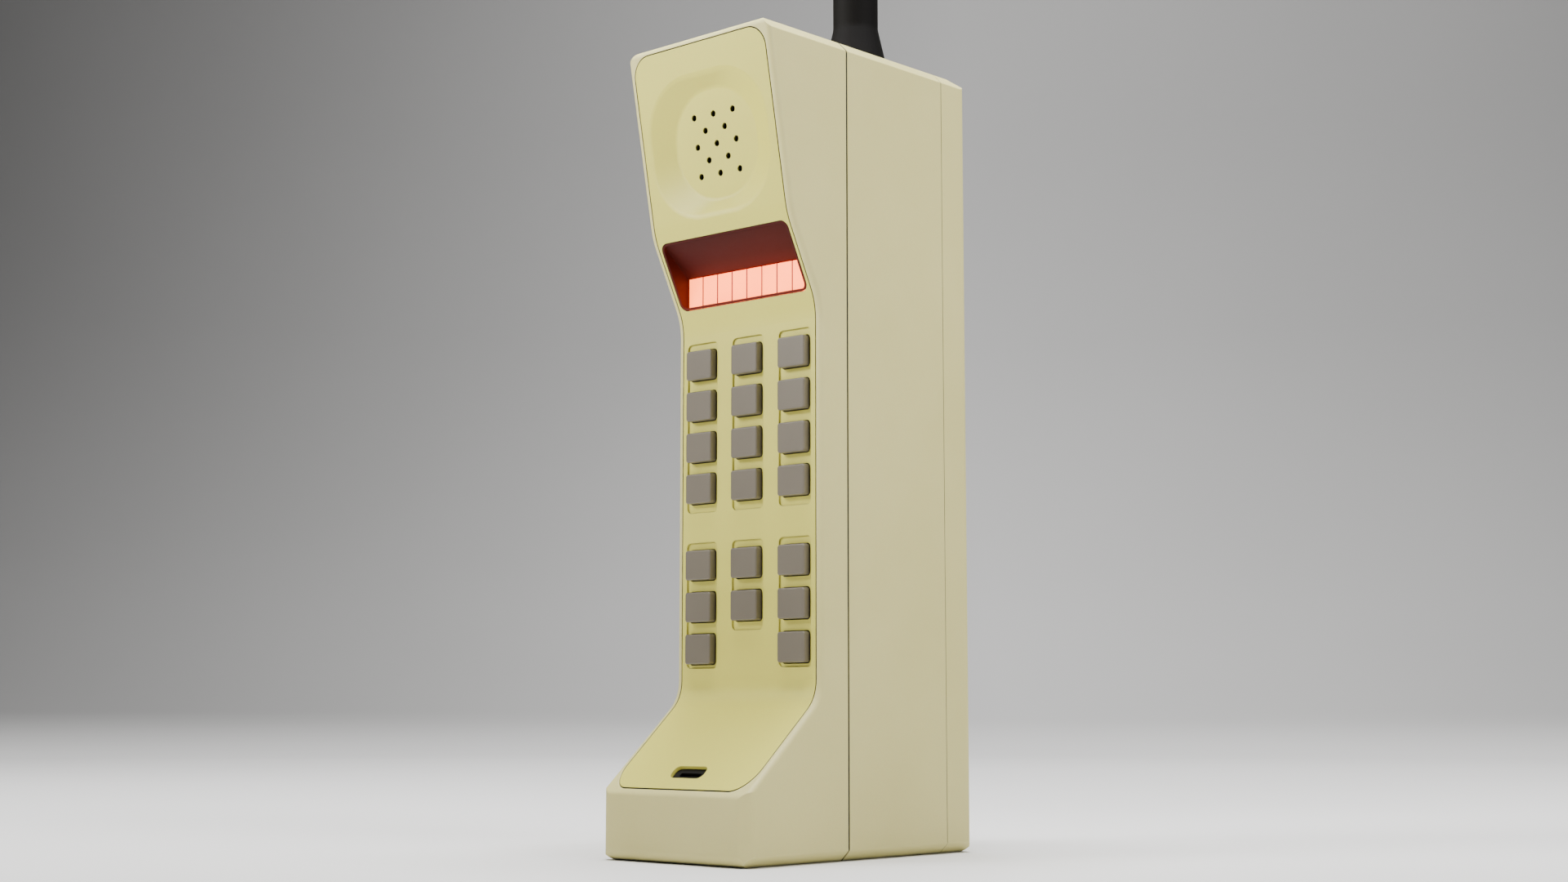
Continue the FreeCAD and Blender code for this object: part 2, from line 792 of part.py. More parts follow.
def rear_housing(block):
    """Rear shell with the battery bay's opening, antenna hole and latch slot."""
    shell = between(block, rear_start_y, rear_end_y)
    shell = shell.cut(front_block(inner_half, wall, body_height - wall, inner_corner,
                                  rear_start_y - 1, rear_end_y - rear_wall))
    bosses = [rod_y(x, z, boss_radius, rear_start_y, rear_start_y + rear_boss_depth)
              for x, z in boss_places()]
    shell = shell.fuse(bosses + [joint_lip()])
    cuts = [box(-bay_half, bay_half, bay_back_y - 1, rear_end_y + 1, bay_bottom, bay_top),
            rod_z(antenna_x, antenna_y, bush_radius + stud_clearance, body_height - wall - 1,
                  body_height + 1),
            tongue_hole(bay_back_y - 1, rear_end_y + 1)]
    for x, z in boss_places():
        cuts.append(rod_y(x, z, screw_radius + screw_clearance, seam_y - joint_lip_depth - 1,
                          rear_start_y + rear_boss_depth + 1))
        cuts.append(rod_y(x, z, screw_head_radius + bay_clearance, rear_end_y - rear_wall - 1,
                          rear_end_y + 1))
        cuts.append(rod_y(x, z, boss_radius + joint_lip_clearance,
                          seam_y - joint_lip_depth - 1, seam_y + seam_gap / 2))
    return one_solid(shell.cut(group(cuts)))


def seam_gasket():
    """Rubber seal in the joint between the two shells."""
    ring = end_block(seam_gasket_sink, seam_y, rear_start_y)
    return ring.cut(front_block(inner_half, wall, body_height - wall, inner_corner,
                                seam_y - 1, rear_start_y + 1))


# ================================================================ earpiece and microphone
def speaker_cloth():
    """Thin dark cloth behind the speaker holes."""
    top = -dish_depth - dish_shell
    return placed(disc(speaker_cloth_radius, top - speaker_cloth_thickness, top), earpiece_place)


def speaker_gasket():
    """Foam ring between the speaker and the back of the dish."""
    top = -dish_depth - dish_shell
    ring = disc(speaker_radius, top - speaker_cloth_thickness, top)
    ring = ring.cut(disc(speaker_cloth_radius + stud_clearance, top - 1, top + 1))
    return placed(ring, earpiece_place)


def earpiece_speaker():
    """Round speaker can with its magnet behind."""
    top = -dish_depth - dish_shell - speaker_cloth_thickness
    can = disc(speaker_radius, top - speaker_depth, top)
    magnet = disc(magnet_radius, top - speaker_depth - magnet_depth, top - speaker_depth)
    return placed(one_solid(can.fuse(magnet)), earpiece_place)


def microphone_boot():
    """Rubber boot that fills the slot and leaves a narrower slot a step further in."""
    width = mic_slot_width - 2 * mic_clearance
    height = mic_slot_height - 2 * mic_clearance
    neck = plate(width, height, mic_slot_corner - mic_clearance, -wall_back, -mic_step)
    base = plate(mic_slot_width + 2 * mic_boot_margin, mic_slot_height + 2 * mic_boot_margin,
                 mic_slot_corner, -wall_back - mic_boot_thickness, -wall_back)
    inner = plate(mic_inner_width, mic_inner_height, mic_inner_height / 3,
                  -wall_back - mic_boot_thickness - 1, 0)
    return placed(one_solid(neck.fuse(base).cut(inner)), mic_place)


def microphone():
    """Round microphone capsule behind the boot."""
    top = -wall_back - mic_boot_thickness
    return placed(disc(mic_radius, top - mic_depth, top), mic_place)


# ================================================================ boards
def keypad_membrane():
    """Rubber sheet that the keys press on."""
    return front_block(board_half, keypad_board_low, keypad_board_high, key_corner,
                       membrane_y, keypad_board_y)


def keypad_board():
    """Circuit board under the rubber sheet."""
    return front_block(board_half, keypad_board_low, keypad_board_high, key_corner,
                       keypad_board_y, keypad_board_y + board_thickness)


def board_spacers():
    """Pillars between the keypad board and the logic board."""
    start = keypad_board_y + board_thickness
    side = board_half - spacer_radius - spacer_clearance
    ends = (keypad_board_low + spacer_from_end, keypad_board_high - spacer_from_end)
    return group([rod_y(x, z, spacer_radius, start, logic_board_y)
                  for x in (-side, side) for z in ends])


def logic_board():
    """Main circuit board in the rear shell."""
    return box(-board_half, board_half, logic_board_y, logic_board_y + board_thickness,
               logic_board_bottom, logic_board_top)


def logic_chips():
    """Square packages on the front of the logic board."""
    size = board_half / 2
    step = (keypad_board_high - keypad_board_low) / 4
    chips = []
    for index in range(3):
        z = keypad_board_low + step * (index + 1)
        chips.append(box(-size / 2, size / 2, logic_board_y - chip_thickness, logic_board_y,
                         z - size / 2, z + size / 2))
    return group(chips)


def radio_shield():
    """Thin metal cover over the radio half of the logic board."""
    start = logic_board_y + board_thickness
    half = board_half - shield_height / 2
    low = (logic_board_bottom + logic_board_top) / 2
    high = logic_board_top - shield_height
    cover = box(-half, half, start, start + shield_height, low, high)
    inside = box(-half + shield_wall, half - shield_wall, start - 1,
                 start + shield_height - shield_wall, low + shield_wall, high - shield_wall)
    return cover.cut(inside)


def antenna_filter():
    """Block filter between the radio and the antenna, above the logic board's shield."""
    start = logic_board_y + board_thickness
    low = logic_board_top - filter_height + spacer_from_end
    return box(-filter_width / 2, filter_width / 2, start, start + filter_depth,
               logic_board_top - spacer_from_end + spacer_clearance, low + filter_height)


# ================================================================ battery pack
def battery_bay():
    """Tub that lines the rear shell's opening."""
    tub = box(-bay_half - bay_wall, bay_half + bay_wall, bay_front_y - bay_wall, bay_back_y,
              bay_bottom - bay_wall, bay_top + bay_wall)
    hollow = box(-bay_half, bay_half, bay_front_y, bay_back_y + 1, bay_bottom, bay_top)
    slots = [contact_block(x, bay_front_y - bay_wall - 1, bay_front_y + 1) for x in contact_xs()]
    return tub.cut(group([hollow] + slots))


def contact_xs():
    """Middles of the two battery contacts."""
    return (-contact_spread, contact_spread)


def contact_block(x, y0, y1):
    """Block with a contact's outline."""
    z = pack_bottom + contact_from_bottom
    return box(x - contact_width / 2, x + contact_width / 2, y0, y1,
               z - contact_height / 2, z + contact_height / 2)


def bay_contacts():
    """Spring contacts of the phone, standing in the bay's front wall."""
    return group([contact_block(x, bay_front_y - bay_wall, pack_front_y - contact_gap)
                  for x in contact_xs()])


def pack_contacts():
    """Flat contacts of the battery pack, flush with its front."""
    return group([contact_block(x, pack_front_y, pack_front_y + contact_thickness)
                  for x in contact_xs()])


def pack_case():
    """Inner half of the battery pack: the block that goes into the bay, with a flange."""
    flange_start = pack_start_y + pack_flange_inset
    flange = front_block(inner_half, wall, body_height - wall, edge_radius, flange_start,
                         flange_start + pack_flange)
    block = box(-pack_half, pack_half, pack_front_y, flange_start + pack_flange, pack_bottom,
                pack_top)
    hollow = box(-pack_half + pack_wall, pack_half - pack_wall, pack_front_y + pack_wall,
                 flange_start + pack_flange + 1, pack_bottom + pack_wall, pack_top - pack_wall)
    cuts = [hollow, tongue_hole(flange_start - 1, flange_start + pack_flange + 1)]
    cuts += [contact_block(x, pack_front_y - 1, pack_front_y + contact_thickness)
             for x in contact_xs()]
    return one_solid(flange.fuse(block).cut(group(cuts)))


def battery_cells():
    """Two columns of round cells."""
    cells = []
    side = cell_radius + cell_clearance / 2
    for x in (-side, side):
        for row in range(cell_rows):
            z = cell_bottom + row * cell_step
            cells.append(rod_z(x, cell_y, cell_radius, z, z + cell_length))
    return group(cells)


def cell_straps():
    """Metal straps that join the two columns at each end of the cells."""
    half = cell_radius * strap_reach
    straps = []
    for row in range(cell_rows):
        z = cell_bottom + row * cell_step
        for low in (z - strap_thickness, z + cell_length):
            straps.append(box(-half, half, cell_y - strap_depth / 2, cell_y + strap_depth / 2,
                              low, low + strap_thickness))
    return group(straps)


def pack_cover(block):
    """Outer half of the battery pack: the phone's back, with the latch's slot."""
    cover = between(block, pack_start_y, back_y + 1)
    for top, end in ((body_height - wall, back_y - roof_slope_run),
                     (body_height - wall - roof_slope_drop, back_y - wall)):
        cover = cover.cut(front_block(inner_half, wall, top, inner_corner,
                                      pack_start_y - 1, end))
    side = latch_width / 2 + latch_clearance
    low = latch_z - latch_height / 2 - latch_travel - latch_clearance
    high = latch_z + latch_height / 2 + latch_clearance
    slot = front_block(side, low, high, key_corner, back_y - wall - 1, back_y + 1)
    return one_solid(cover.cut(slot))


def tongue_hole(y0, y1):
    """Slot that lets the latch's tongue through and down."""
    high = latch_z + latch_height / 2
    side = latch_tongue_width / 2 + latch_clearance
    return box(-side, side, y0, y1, high - latch_tongue_height - latch_travel - latch_clearance,
               high + latch_clearance)


def latch():
    """Sliding latch: a ridged thumb face on a guide plate behind the slot."""
    plate_back = back_y - wall - latch_clearance
    plate_front = plate_back - latch_plate_thickness
    face_y = back_y - latch_sink
    low = latch_z - latch_height / 2
    high = latch_z + latch_height / 2
    thumb = front_block(latch_width / 2, low, high, key_corner - latch_clearance, plate_front,
                        face_y)
    guide = front_block(latch_width / 2 + latch_plate_margin,
                        low - latch_plate_margin, high + latch_plate_margin, key_corner,
                        plate_front, plate_back)
    step = latch_height / (latch_ridges + 1)
    grooves = [box(-latch_width, latch_width, face_y - latch_ridge_depth, face_y + 1,
                   low + step * (index + 1) - latch_ridge_width / 2,
                   low + step * (index + 1) + latch_ridge_width / 2)
               for index in range(latch_ridges)]
    return one_solid(thumb.fuse(guide).cut(group(grooves)))


def latch_tongue():
    """Steel tongue on the latch's guide plate, through the pack's slot and the rear shell's."""
    root = back_y - wall - latch_clearance - latch_plate_thickness
    high = latch_z + latch_height / 2
    side = latch_tongue_width / 2
    foot = box(-side, side, root - latch_foot_thickness, root, high - latch_foot_height, high)
    tongue = box(-side, side, rear_end_y - latch_tongue_past, root,
                 high - latch_tongue_height, high)
    return one_solid(foot.fuse(tongue))


# ================================================================ antenna
def turned(profile, x, y):
    """Solid of revolution about a vertical axis from (radius, z, corner radius) corners."""
    face = rounded_face(profile, front_point)
    solid = face.revolve(V(0, 0, 0), V(0, 0, 1), 360)
    solid.translate(V(x, y, 0))
    return solid


def antenna_whip():
    """Thick rubber rod on a flared foot, with a rounded tip."""
    seat = body_height + antenna_seat_gap
    shoulder = seat + antenna_foot_height
    top = seat + antenna_length
    outline = [(0, seat, 0), (antenna_foot_radius, seat, antenna_foot_round),
               (antenna_radius, shoulder, antenna_radius),
               (antenna_radius, shoulder + antenna_straight, antenna_length),
               (antenna_tip_radius, top, antenna_tip_round), (0, top, 0)]
    rod = turned(outline, antenna_x, antenna_y)
    flange_hole = rod_z(antenna_x, antenna_y, core_flange_radius + core_clearance, seat - 1,
                        seat + core_flange_thickness)
    core_hole = rod_z(antenna_x, antenna_y, core_radius + core_clearance, seat,
                      seat + core_length)
    return one_solid(rod.cut(flange_hole).cut(core_hole))


def antenna_core():
    """Metal core of the antenna, with a seat flange and the stud that goes into the phone."""
    seat = body_height + antenna_seat_gap
    flange = rod_z(antenna_x, antenna_y, core_flange_radius, seat, seat + core_flange_thickness)
    core = rod_z(antenna_x, antenna_y, core_radius, seat, seat + core_length)
    stud = rod_z(antenna_x, antenna_y, stud_radius, seat - stud_length, seat)
    return one_solid(flange.fuse([core, stud]))


def antenna_bush():
    """Metal bush in the rear shell's roof that the antenna's stud goes into."""
    top = body_height
    body = rod_z(antenna_x, antenna_y, bush_radius, top - bush_length, top)
    flange = rod_z(antenna_x, antenna_y, bush_flange_radius,
                   top - wall - bush_flange_thickness, top - wall)
    bore = rod_z(antenna_x, antenna_y, stud_radius + stud_clearance, top - bush_length - 1,
                 top + 1)
    return one_solid(body.fuse(flange).cut(bore))


# ================================================================ the whole phone
def pieces():
    """Every piece by name."""
    block = body_block()
    made = {
        "front_housing": front_housing(block),
        "front_panel": front_panel(),
        "rear_housing": rear_housing(block),
        "seam_gasket": seam_gasket(),
        "display_tray": display_tray(block),
        "led_bars": led_bars(),
        "led_base": led_base(),
        "display_board": display_board(0),
        "keypad_membrane": keypad_membrane(),
        "keypad_board": keypad_board(),
        "board_spacers": board_spacers(),
        "logic_board": logic_board(),
        "logic_chips": logic_chips(),
        "radio_shield": radio_shield(),
        "antenna_filter": antenna_filter(),
        "speaker_cloth": speaker_cloth(),
        "speaker_gasket": speaker_gasket(),
        "earpiece_speaker": earpiece_speaker(),
        "microphone_boot": microphone_boot(),
        "microphone": microphone(),
        "housing_screws": screws(),
        "battery_bay": battery_bay(),
        "bay_contacts": bay_contacts(),
        "pack_case": pack_case(),
        "pack_cover": pack_cover(block),
        "pack_contacts": pack_contacts(),
        "battery_cells": battery_cells(),
        "cell_straps": cell_straps(),
        "battery_latch": latch(),
        "latch_tongue": latch_tongue(),
        "antenna_whip": antenna_whip(),
        "antenna_core": antenna_core(),
        "antenna_bush": antenna_bush(),
    }
    for name, x, z in key_places():
        made[name] = key(x, z)
    return made


os.makedirs("parts", exist_ok=True)
for piece_name, piece in pieces().items():
    piece.exportStep(f"parts/{piece_name}.step")
    print(f"{piece_name}: {len(piece.Solids)} solid(s), {piece.Volume / 1000:.3f} cm3")
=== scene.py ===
"""Looks of an early mobile brick phone: moulded cream shells, an inlaid yellow-cream panel,
taupe keys, a glowing bar display and a rubber antenna, on a pale studio sweep."""
import json
import math

import bmesh
import bpy
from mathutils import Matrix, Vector


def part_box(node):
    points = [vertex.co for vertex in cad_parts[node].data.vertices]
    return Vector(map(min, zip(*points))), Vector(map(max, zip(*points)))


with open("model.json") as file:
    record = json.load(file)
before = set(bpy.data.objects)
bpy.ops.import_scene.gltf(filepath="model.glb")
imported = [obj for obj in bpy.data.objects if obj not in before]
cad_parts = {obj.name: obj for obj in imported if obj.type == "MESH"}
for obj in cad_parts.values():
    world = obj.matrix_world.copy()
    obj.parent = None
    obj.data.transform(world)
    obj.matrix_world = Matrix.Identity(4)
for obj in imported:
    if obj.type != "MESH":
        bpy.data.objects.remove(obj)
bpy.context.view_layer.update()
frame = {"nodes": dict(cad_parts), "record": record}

MM = 0.001
NODES = frame["nodes"]

# Pattern sizes in millimetres. The grain of real moulded plastic and rubber is 0.05 to 0.1 mm,
# too fine to show, so the grains below are drawn three to five times as coarse.
AGE_DRIFT_MM = 45            # between the lighter and darker areas of aged plastic
SPECK_MM = 1.1               # between faint specks in the plastic
EDGE_WEAR_MM = 0.3           # how far hands have polished the plastic from an edge
PAINTED_SHADE_FADE = 0.42            # change of openness from full painted shade to none
HOLE_SHADE_REACH_MM = 2.6          # reach of the painted shade in the earpiece's deep holes
HOLE_SHADE_START_MM = 3            # height over which that reach comes in
BAR_DRIFT_MM = 9             # unevenness of the lit bars
FINISH_DRIFT_MM = 12         # slow change of colour on the small parts
TRAY_GLOW_MM = 3             # how far above the bars the painted glow on the tray reaches

SPECK_STRENGTH = 0.05
WEAR_STARTS, WEAR_FULL = 0.995, 0.80    # cosine of how far an edge turns the surface
WEAR_AT_MOST = 0.55
GLOSSIER, DULLER = 0.06, 0.07           # roughness below and above a plastic's own
FINISH_GLOSS_CHANGE = 0.08              # the same, both ways, on the small parts
BRIGHTEST_BAR = 1.12                    # against the dimmest
ABS_IOR = 1.53

# Studio sizes, in metres unless said.
FLOOR_RADIUS = 1.2
WALL_BEND = 0.7
WALL_HEIGHT = 3.0
BEND_STEPS = 24
WALL_SIDES = 96
MERGE_DISTANCE = 1e-5
PAINTED_HEIGHT = 0.9         # over which the wall's painted shade changes
SIDE_SHADE_START_HEIGHT = 0.035    # over which the painted sideways light and shade come in above the floor
ACROSS_WALL = (0.736, 0.677, 0.0)    # level direction that the painted sideways light and shade follow
AIR_GREY = (0.6, 0.6, 0.6, 1)
AIR_STRENGTH = 0.08
CAMERA_PLACE = (0.39494, -0.43230, 0.03911)
CAMERA_TILT_UP = 6.96        # degrees above level
CAMERA_TURN = 42.63          # degrees from looking along +Y, towards -X
LENS_MM = 50
SENSOR_MM = 36


# ---------------------------------------------------------------- small helpers
def linear(hex_colour):
    """sRGB hex to linear RGBA."""
    parts = [int(hex_colour[i:i + 2], 16) / 255 for i in (1, 3, 5)]
    return [c / 12.92 if c <= 0.04045 else ((c + 0.055) / 1.055) ** 2.4 for c in parts] + [1.0]


def add(tree, kind, settings=None, links=None):
    """Adds a node; settings are attributes or inputs, links are input -> (node, output)."""
    node = tree.nodes.new(kind)
    for name, value in (settings or {}).items():
        if isinstance(name, str) and hasattr(node, name):
            setattr(node, name, value)
        else:
            node.inputs[name].default_value = value
    for name, (source, output) in (links or {}).items():
        tree.links.new(source.outputs[output], node.inputs[name])
    return node


def ramp(node, stops):
    """Sets a colour ramp's stops from (position, colour) pairs."""
    elements = node.color_ramp.elements
    while len(elements) > len(stops):
        elements.remove(elements[-1])
    while len(elements) < len(stops):
        elements.new(0.5)
    for element, (position, colour) in zip(elements, stops):
        element.position = position
        element.color = colour


def new_material(name):
    """Empty node material."""
    material = bpy.data.materials.new(name)
    material.use_nodes = True
    material.node_tree.nodes.clear()
    return material, material.node_tree


def finish_material(tree, shader):
    """Joins the shader to the material's output."""
    add(tree, "ShaderNodeOutputMaterial", links={"Surface": (shader, "BSDF")})


# ---------------------------------------------------------------- materials
def moulded_plastic(name, colour, shade, worn, painted_shade_colour, grain_mm, grain_height_mm, roughness,
                    gloss=0.5, shade_reach_mm=1.2, unshaded_from=0.55, shaded_holes_above=None):
    """ABS moulded in a spark-eroded tool: a fine matt grain, slow drifts of colour from age,
    edges and corners polished lighter by hands, and painted shade darkening joints and holes.

    shade_reach_mm is how far off a facing wall may stand to cast painted shade, unshaded_from how
    open a spot must be to stay unshaded, and shaded_holes_above the height from which deep holes
    are shaded from farther off.
    """
    material, tree = new_material(name)
    place = add(tree, "ShaderNodeTexCoord")
    drift = add(tree, "ShaderNodeTexNoise", {"Scale": 1 / (AGE_DRIFT_MM * MM), "Detail": 3.0,
                                             "Roughness": 0.55}, {"Vector": (place, "Object")})
    speck = add(tree, "ShaderNodeTexNoise", {"Scale": 1 / (SPECK_MM * MM), "Detail": 2.0},
                {"Vector": (place, "Object")})
    grain = add(tree, "ShaderNodeTexNoise", {"Scale": 1 / (grain_mm * MM), "Detail": 3.0,
                                             "Roughness": 0.6}, {"Vector": (place, "Object")})
    tint = add(tree, "ShaderNodeValToRGB", links={"Fac": (drift, "Fac")})
    ramp(tint, [(0.3, linear(shade)), (0.7, linear(colour))])
    speckled = add(tree, "ShaderNodeMix", {"data_type": "RGBA", "blend_type": "MULTIPLY",
                                           "Factor": SPECK_STRENGTH},
                   {"A": (tint, "Color"), "B": (speck, "Color")})
    rounded = add(tree, "ShaderNodeBevel", {"samples": 4, "Radius": EDGE_WEAR_MM * MM})
    flat = add(tree, "ShaderNodeNewGeometry")
    turn = add(tree, "ShaderNodeVectorMath", {"operation": "DOT_PRODUCT"},
               {0: (rounded, "Normal"), 1: (flat, "Normal")})
    edge = add(tree, "ShaderNodeMapRange", {"From Min": WEAR_STARTS, "From Max": WEAR_FULL,
                                            "To Max": WEAR_AT_MOST},
               {"Value": (turn, "Value")})
    patchy = add(tree, "ShaderNodeMath", {"operation": "MULTIPLY"},
                 {0: (edge, "Result"), 1: (drift, "Fac")})
    colour_mix = add(tree, "ShaderNodeMix", {"data_type": "RGBA", "B": linear(worn)},
                     {"Factor": (patchy, "Value"), "A": (speckled, "Result")})
    # Painted shade: where ambient occlusion finds walls close by, in joints, recesses and holes,
    # the colour is mixed towards a dark shade colour.
    shade_ao = add(tree, "ShaderNodeAmbientOcclusion", {"samples": 8, "Distance": shade_reach_mm * MM})
    if shaded_holes_above is not None:
        split = add(tree, "ShaderNodeSeparateXYZ", links={"Vector": (place, "Object")})
        reach = add(tree, "ShaderNodeMapRange", {"From Min": shaded_holes_above,
                                                 "From Max": shaded_holes_above + HOLE_SHADE_START_MM * MM,
                                                 "To Min": shade_reach_mm * MM,
                                                 "To Max": HOLE_SHADE_REACH_MM * MM},
                    {"Value": (split, "Z")})
        tree.links.new(reach.outputs["Result"], shade_ao.inputs["Distance"])
    painted_shade_mask = add(tree, "ShaderNodeMapRange", {"From Min": unshaded_from - PAINTED_SHADE_FADE, "From Max": unshaded_from,
                                            "To Min": 1.0, "To Max": 0.0},
               {"Value": (shade_ao, "AO")})
    with_painted_shade = add(tree, "ShaderNodeMix", {"data_type": "RGBA", "B": linear(painted_shade_colour)},
                 {"Factor": (painted_shade_mask, "Result"), "A": (colour_mix, "Result")})
    rough = add(tree, "ShaderNodeMapRange", {"To Min": roughness - GLOSSIER,
                                             "To Max": roughness + DULLER},
                {"Value": (speck, "Fac")})
    bump = add(tree, "ShaderNodeBump", {"Strength": 0.6, "Distance": grain_height_mm * MM},
               {"Height": (grain, "Fac"), "Normal": (rounded, "Normal")})
    shader = add(tree, "ShaderNodeBsdfPrincipled", {"IOR": ABS_IOR, "Specular IOR Level": gloss},
                 {"Base Color": (with_painted_shade, "Result"), "Roughness": (rough, "Result"),
                  "Normal": (bump, "Normal")})
    finish_material(tree, shader)
    return material


def paint_bar_glow_on_tray(material, colour, low, high, power):
    """Paints the bars' light onto the tray's red plastic as emission, a glow standing in for
    light falling on it: full at the low height, none at the high one."""
    tree = material.node_tree
    shader = next(node for node in tree.nodes if node.type == "BSDF_PRINCIPLED")
    place = add(tree, "ShaderNodeTexCoord")
    split = add(tree, "ShaderNodeSeparateXYZ", links={"Vector": (place, "Object")})
    glow = add(tree, "ShaderNodeMapRange", {"From Min": high, "From Max": low, "To Max": power},
               {"Value": (split, "Z")})
    shader.inputs["Emission Color"].default_value = linear(colour)
    tree.links.new(glow.outputs["Result"], shader.inputs["Emission Strength"])


def glowing_bar(name, colour, shade, power):
    """Lit segment under clear plastic, with a slight unevenness along the row."""
    material, tree = new_material(name)
    place = add(tree, "ShaderNodeTexCoord")
    uneven = add(tree, "ShaderNodeTexNoise", {"Scale": 1 / (BAR_DRIFT_MM * MM), "Detail": 1.0},
                 {"Vector": (place, "Object")})
    tint = add(tree, "ShaderNodeValToRGB", links={"Fac": (uneven, "Fac")})
    ramp(tint, [(0.35, linear(shade)), (0.65, linear(colour))])
    glow = add(tree, "ShaderNodeMapRange", {"To Min": power, "To Max": power * BRIGHTEST_BAR},
               {"Value": (uneven, "Fac")})
    shader = add(tree, "ShaderNodeBsdfPrincipled", {"Roughness": 0.3},
                 {"Base Color": (tint, "Color"), "Emission Color": (tint, "Color"),
                  "Emission Strength": (glow, "Result")})
    finish_material(tree, shader)
    return material


def simple_finish(name, colour, shade, roughness, metallic=0.0, grain_mm=0.4,
                  grain_height_mm=0.02, gloss=0.5):
    """Plain surface with a slow change of colour, uneven gloss and a fine grain."""
    material, tree = new_material(name)
    place = add(tree, "ShaderNodeTexCoord")
    drift = add(tree, "ShaderNodeTexNoise", {"Scale": 1 / (FINISH_DRIFT_MM * MM), "Detail": 3.0},
                {"Vector": (place, "Object")})
    grain = add(tree, "ShaderNodeTexNoise", {"Scale": 1 / (grain_mm * MM), "Detail": 2.0},
                {"Vector": (place, "Object")})
    tint = add(tree, "ShaderNodeValToRGB", links={"Fac": (drift, "Fac")})
    ramp(tint, [(0.35, linear(shade)), (0.65, linear(colour))])
    rough = add(tree, "ShaderNodeMapRange", {"To Min": roughness - FINISH_GLOSS_CHANGE,
                                             "To Max": roughness + FINISH_GLOSS_CHANGE},
                {"Value": (grain, "Fac")})
    bump = add(tree, "ShaderNodeBump", {"Strength": 0.5, "Distance": grain_height_mm * MM},
               {"Height": (grain, "Fac")})
    shader = add(tree, "ShaderNodeBsdfPrincipled", {"Metallic": metallic,
                                                    "Specular IOR Level": gloss},
                 {"Base Color": (tint, "Color"), "Roughness": (rough, "Result"),
                  "Normal": (bump, "Normal")})
    finish_material(tree, shader)
    return material


# The shells: aged cream ABS, satin, with a fine spark-eroded grain that softens highlights.
# Its last colour is painted shade for the seams and joints.
shell_plastic = moulded_plastic("moulded_abs_cream_shell", "#DAD18C", "#D3CA84", "#E8E0BE",
                                "#2C261A", 0.35, 0.05, 0.55)
# The inlaid panel: smoother, yellower ABS, with painted near-black shade in the earpiece's holes.
panel_plastic = moulded_plastic("moulded_abs_yellow_cream_panel", "#DDD660", "#D8D05A",
                                "#E6DFA0", "#100E05", 0.5, 0.01, 0.5, shade_reach_mm=0.8, unshaded_from=0.66,
                                shaded_holes_above=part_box("speaker_cloth")[0][2] - HOLE_SHADE_START_MM * MM)
# The keys: taupe ABS, a little glossier from fingers, with brown shade painted down their sides.
key_plastic = moulded_plastic("moulded_abs_taupe_keys", "#726A5C", "#6C6456", "#857B69",
                              "#2E2716", 0.3, 0.015, 0.42, shade_reach_mm=2.6)
# The display's tray: matt maroon plastic with painted shade and a painted glow from the bars.
tray_plastic = moulded_plastic("moulded_abs_maroon_tray", "#48120C", "#3F0F0A", "#551A12",
                               "#3F0F0A", 0.4, 0.02, 0.6, gloss=0.15)
# Inner mouldings, seen with the pack off: plain black ABS, with painted shade in their hollows.
inner_plastic = moulded_plastic("moulded_abs_black_inside", "#2A2826", "#252321", "#3A3734",
                                "#100F0E", 0.3, 0.03, 0.5)
# The bars: clear plastic over lit segments. Their carrier shows as a thin line between them.
bars_low, bars_high = (corner[2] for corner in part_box("led_bars"))
# Painted light: red emission on the tray, fading from the bars' foot to just above their top,
# stands in for the bars' light falling on it.
paint_bar_glow_on_tray(tray_plastic, "#F04A34", bars_low, bars_high + TRAY_GLOW_MM * MM, 0.13)
led_light = glowing_bar("lit_bars", "#FF7638", "#FF7034", 4.6)
